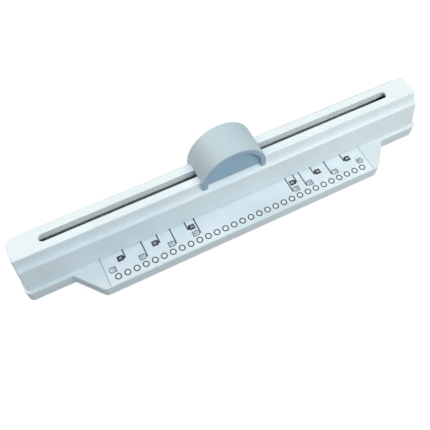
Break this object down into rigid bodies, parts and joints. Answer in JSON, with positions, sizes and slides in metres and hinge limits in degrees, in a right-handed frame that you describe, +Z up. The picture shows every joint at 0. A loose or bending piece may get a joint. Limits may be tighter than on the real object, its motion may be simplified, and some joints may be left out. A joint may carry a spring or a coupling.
{
  "type": "sliding paper punch",
  "caption": "Long desk paper punch: a grip slides along a slot and presses a row of sprung punch pins through sheets laid on its front table.",
  "frame": {"origin": "centre of the footprint, at the underside of the rubber feet", "axes": "+X to the right along the punch, +Y from the front table towards the back, +Z up"},
  "size_m": [0.444, 0.0852, 0.086],
  "materials": {
    "base_plastic": "satin moulded plastic, pale cool grey",
    "cover_plastic": "satin moulded plastic, near white with a cool tint",
    "under_plastic": "fine matt moulded plastic",
    "drawer_plastic": "matt moulded plastic",
    "grip_plastic": "soft matt grey-blue plastic",
    "grip_panel_plastic": "soft matt darker grey-blue plastic",
    "slider_plastic": "slippery dark plastic",
    "block_plastic": "matt dark grey plastic",
    "label_film": "printed film",
    "foot_rubber": "matt black rubber",
    "die_steel": "ground",
    "sheet_steel": "zinc plated sheet",
    "screw_steel": "zinc plated",
    "spring_steel": "drawn wire",
    "roller_steel": "turned and hardened",
    "pin_steel": "ground and hardened"
  },
  "bodies": {
    "base": {"base_housing": "base_plastic", "bottom_plate": "under_plastic", "bottom_screws": "screw_steel", "rubber_feet": "foot_rubber", "die_plate": "die_steel", "paper_stop": "sheet_steel", "guide_plate": "die_steel", "pin_channel": "sheet_steel", "frame_screws": "screw_steel", "pin_springs": "spring_steel", "rail_front": "sheet_steel", "rail_rear": "sheet_steel", "rail_rivets": "screw_steel", "rail_block_left": "block_plastic", "rail_block_right": "block_plastic", "slot_bumpers": "foot_rubber", "top_cover": "cover_plastic", "cover_screws": "screw_steel", "table_label": "label_film"},
    "slider": {"carriage": "slider_plastic", "glide_pads": "slider_plastic", "roller_axles": "roller_steel", "grip_shell": "grip_plastic", "grip_front_panel": "grip_panel_plastic", "grip_rear_panel": "grip_panel_plastic", "grip_screws": "screw_steel"},
    "press_roller": {"press_roller": "roller_steel"},
    "lead_roller_left": {"lead_roller_left": "roller_steel"},
    "lead_roller_right": {"lead_roller_right": "roller_steel"},
    "drawer": {"chip_drawer": "drawer_plastic"},
    "pin_01": {"punch_pin_01": "pin_steel"},
    "pin_02": {"punch_pin_02": "pin_steel"},
    "pin_03": {"punch_pin_03": "pin_steel"},
    "pin_04": {"punch_pin_04": "pin_steel"},
    "pin_05": {"punch_pin_05": "pin_steel"},
    "pin_06": {"punch_pin_06": "pin_steel"},
    "pin_07": {"punch_pin_07": "pin_steel"},
    "pin_08": {"punch_pin_08": "pin_steel"},
    "pin_09": {"punch_pin_09": "pin_steel"},
    "pin_10": {"punch_pin_10": "pin_steel"},
    "pin_11": {"punch_pin_11": "pin_steel"},
    "pin_12": {"punch_pin_12": "pin_steel"},
    "pin_13": {"punch_pin_13": "pin_steel"},
    "pin_14": {"punch_pin_14": "pin_steel"},
    "pin_15": {"punch_pin_15": "pin_steel"},
    "pin_16": {"punch_pin_16": "pin_steel"},
    "pin_17": {"punch_pin_17": "pin_steel"},
    "pin_18": {"punch_pin_18": "pin_steel"},
    "pin_19": {"punch_pin_19": "pin_steel"},
    "pin_20": {"punch_pin_20": "pin_steel"},
    "pin_21": {"punch_pin_21": "pin_steel"},
    "pin_22": {"punch_pin_22": "pin_steel"},
    "pin_23": {"punch_pin_23": "pin_steel"},
    "pin_24": {"punch_pin_24": "pin_steel"},
    "pin_25": {"punch_pin_25": "pin_steel"},
    "pin_26": {"punch_pin_26": "pin_steel"},
    "pin_27": {"punch_pin_27": "pin_steel"},
    "pin_28": {"punch_pin_28": "pin_steel"},
    "pin_29": {"punch_pin_29": "pin_steel"},
    "pin_30": {"punch_pin_30": "pin_steel"}
  },
  "joints": [
    {"name": "slider_travel", "type": "slide", "parent": "base", "child": "slider", "axis": [1, 0, 0], "range_m": [-0.1791, 0.1737]},
    {"name": "press_roller_spin", "type": "hinge", "parent": "slider", "child": "press_roller", "pos_m": [0.0027, 0.01415, 0.0414], "axis": [0, 1, 0], "continuous": true},
    {"name": "lead_roller_left_spin", "type": "hinge", "parent": "slider", "child": "lead_roller_left", "pos_m": [-0.0098, 0.01415, 0.042], "axis": [0, 1, 0], "continuous": true},
    {"name": "lead_roller_right_spin", "type": "hinge", "parent": "slider", "child": "lead_roller_right", "pos_m": [0.0152, 0.01415, 0.042], "axis": [0, 1, 0], "continuous": true},
    {"name": "drawer_pull", "type": "slide", "parent": "base", "child": "drawer", "axis": [1, 0, 0], "range_m": [0, 0.3]},
    {"name": "pin_01_press", "type": "slide", "parent": "base", "child": "pin_01", "axis": [0, 0, -1], "range_m": [0, 0.005], "stiffness_N_per_m": 600, "springref_m": -0.003, "deforming": ["pin_springs"]},
    {"name": "pin_02_press", "type": "slide", "parent": "base", "child": "pin_02", "axis": [0, 0, -1], "range_m": [0, 0.005], "stiffness_N_per_m": 600, "springref_m": -0.003, "deforming": ["pin_springs"]},
    {"name": "pin_03_press", "type": "slide", "parent": "base", "child": "pin_03", "axis": [0, 0, -1], "range_m": [0, 0.005], "stiffness_N_per_m": 600, "springref_m": -0.003, "deforming": ["pin_springs"]},
    {"name": "pin_04_press", "type": "slide", "parent": "base", "child": "pin_04", "axis": [0, 0, -1], "range_m": [0, 0.005], "stiffness_N_per_m": 600, "springref_m": -0.003, "deforming": ["pin_springs"]},
    {"name": "pin_05_press", "type": "slide", "parent": "base", "child": "pin_05", "axis": [0, 0, -1], "range_m": [0, 0.005], "stiffness_N_per_m": 600, "springref_m": -0.003, "deforming": ["pin_springs"]},
    {"name": "pin_06_press", "type": "slide", "parent": "base", "child": "pin_06", "axis": [0, 0, -1], "range_m": [0, 0.005], "stiffness_N_per_m": 600, "springref_m": -0.003, "deforming": ["pin_springs"]},
    {"name": "pin_07_press", "type": "slide", "parent": "base", "child": "pin_07", "axis": [0, 0, -1], "range_m": [0, 0.005], "stiffness_N_per_m": 600, "springref_m": -0.003, "deforming": ["pin_springs"]},
    {"name": "pin_08_press", "type": "slide", "parent": "base", "child": "pin_08", "axis": [0, 0, -1], "range_m": [0, 0.005], "stiffness_N_per_m": 600, "springref_m": -0.003, "deforming": ["pin_springs"]},
    {"name": "pin_09_press", "type": "slide", "parent": "base", "child": "pin_09", "axis": [0, 0, -1], "range_m": [0, 0.005], "stiffness_N_per_m": 600, "springref_m": -0.003, "deforming": ["pin_springs"]},
    {"name": "pin_10_press", "type": "slide", "parent": "base", "child": "pin_10", "axis": [0, 0, -1], "range_m": [0, 0.005], "stiffness_N_per_m": 600, "springref_m": -0.003, "deforming": ["pin_springs"]},
    {"name": "pin_11_press", "type": "slide", "parent": "base", "child": "pin_11", "axis": [0, 0, -1], "range_m": [0, 0.005], "stiffness_N_per_m": 600, "springref_m": -0.003, "deforming": ["pin_springs"]},
    {"name": "pin_12_press", "type": "slide", "parent": "base", "child": "pin_12", "axis": [0, 0, -1], "range_m": [0, 0.005], "stiffness_N_per_m": 600, "springref_m": -0.003, "deforming": ["pin_springs"]},
    {"name": "pin_13_press", "type": "slide", "parent": "base", "child": "pin_13", "axis": [0, 0, -1], "range_m": [0, 0.005], "stiffness_N_per_m": 600, "springref_m": -0.003, "deforming": ["pin_springs"]},
    {"name": "pin_14_press", "type": "slide", "parent": "base", "child": "pin_14", "axis": [0, 0, -1], "range_m": [0, 0.005], "stiffness_N_per_m": 600, "springref_m": -0.003, "deforming": ["pin_springs"]},
    {"name": "pin_15_press", "type": "slide", "parent": "base", "child": "pin_15", "axis": [0, 0, -1], "range_m": [0, 0.005], "stiffness_N_per_m": 600, "springref_m": -0.003, "deforming": ["pin_springs"]},
    {"name": "pin_16_press", "type": "slide", "parent": "base", "child": "pin_16", "axis": [0, 0, -1], "range_m": [0, 0.005], "stiffness_N_per_m": 600, "springref_m": -0.003, "deforming": ["pin_springs"]},
    {"name": "pin_17_press", "type": "slide", "parent": "base", "child": "pin_17", "axis": [0, 0, -1], "range_m": [0, 0.005], "stiffness_N_per_m": 600, "springref_m": -0.003, "deforming": ["pin_springs"]},
    {"name": "pin_18_press", "type": "slide", "parent": "base", "child": "pin_18", "axis": [0, 0, -1], "range_m": [0, 0.005], "stiffness_N_per_m": 600, "springref_m": -0.003, "deforming": ["pin_springs"]},
    {"name": "pin_19_press", "type": "slide", "parent": "base", "child": "pin_19", "axis": [0, 0, -1], "range_m": [0, 0.005], "stiffness_N_per_m": 600, "springref_m": -0.003, "deforming": ["pin_springs"]},
    {"name": "pin_20_press", "type": "slide", "parent": "base", "child": "pin_20", "axis": [0, 0, -1], "range_m": [0, 0.005], "stiffness_N_per_m": 600, "springref_m": -0.003, "deforming": ["pin_springs"]},
    {"name": "pin_21_press", "type": "slide", "parent": "base", "child": "pin_21", "axis": [0, 0, -1], "range_m": [0, 0.005], "stiffness_N_per_m": 600, "springref_m": -0.003, "deforming": ["pin_springs"]},
    {"name": "pin_22_press", "type": "slide", "parent": "base", "child": "pin_22", "axis": [0, 0, -1], "range_m": [0, 0.005], "stiffness_N_per_m": 600, "springref_m": -0.003, "deforming": ["pin_springs"]},
    {"name": "pin_23_press", "type": "slide", "parent": "base", "child": "pin_23", "axis": [0, 0, -1], "range_m": [0, 0.005], "stiffness_N_per_m": 600, "springref_m": -0.003, "deforming": ["pin_springs"]},
    {"name": "pin_24_press", "type": "slide", "parent": "base", "child": "pin_24", "axis": [0, 0, -1], "range_m": [0, 0.005], "stiffness_N_per_m": 600, "springref_m": -0.003, "deforming": ["pin_springs"]},
    {"name": "pin_25_press", "type": "slide", "parent": "base", "child": "pin_25", "axis": [0, 0, -1], "range_m": [0, 0.005], "stiffness_N_per_m": 600, "springref_m": -0.003, "deforming": ["pin_springs"]},
    {"name": "pin_26_press", "type": "slide", "parent": "base", "child": "pin_26", "axis": [0, 0, -1], "range_m": [0, 0.005], "stiffness_N_per_m": 600, "springref_m": -0.003, "deforming": ["pin_springs"]},
    {"name": "pin_27_press", "type": "slide", "parent": "base", "child": "pin_27", "axis": [0, 0, -1], "range_m": [0, 0.005], "stiffness_N_per_m": 600, "springref_m": -0.003, "deforming": ["pin_springs"]},
    {"name": "pin_28_press", "type": "slide", "parent": "base", "child": "pin_28", "axis": [0, 0, -1], "range_m": [0, 0.005], "stiffness_N_per_m": 600, "springref_m": -0.003, "deforming": ["pin_springs"]},
    {"name": "pin_29_press", "type": "slide", "parent": "base", "child": "pin_29", "axis": [0, 0, -1], "range_m": [0, 0.005], "stiffness_N_per_m": 600, "springref_m": -0.003, "deforming": ["pin_springs"]},
    {"name": "pin_30_press", "type": "slide", "parent": "base", "child": "pin_30", "axis": [0, 0, -1], "range_m": [0, 0.005], "stiffness_N_per_m": 600, "springref_m": -0.003, "deforming": ["pin_springs"]}
  ]
}
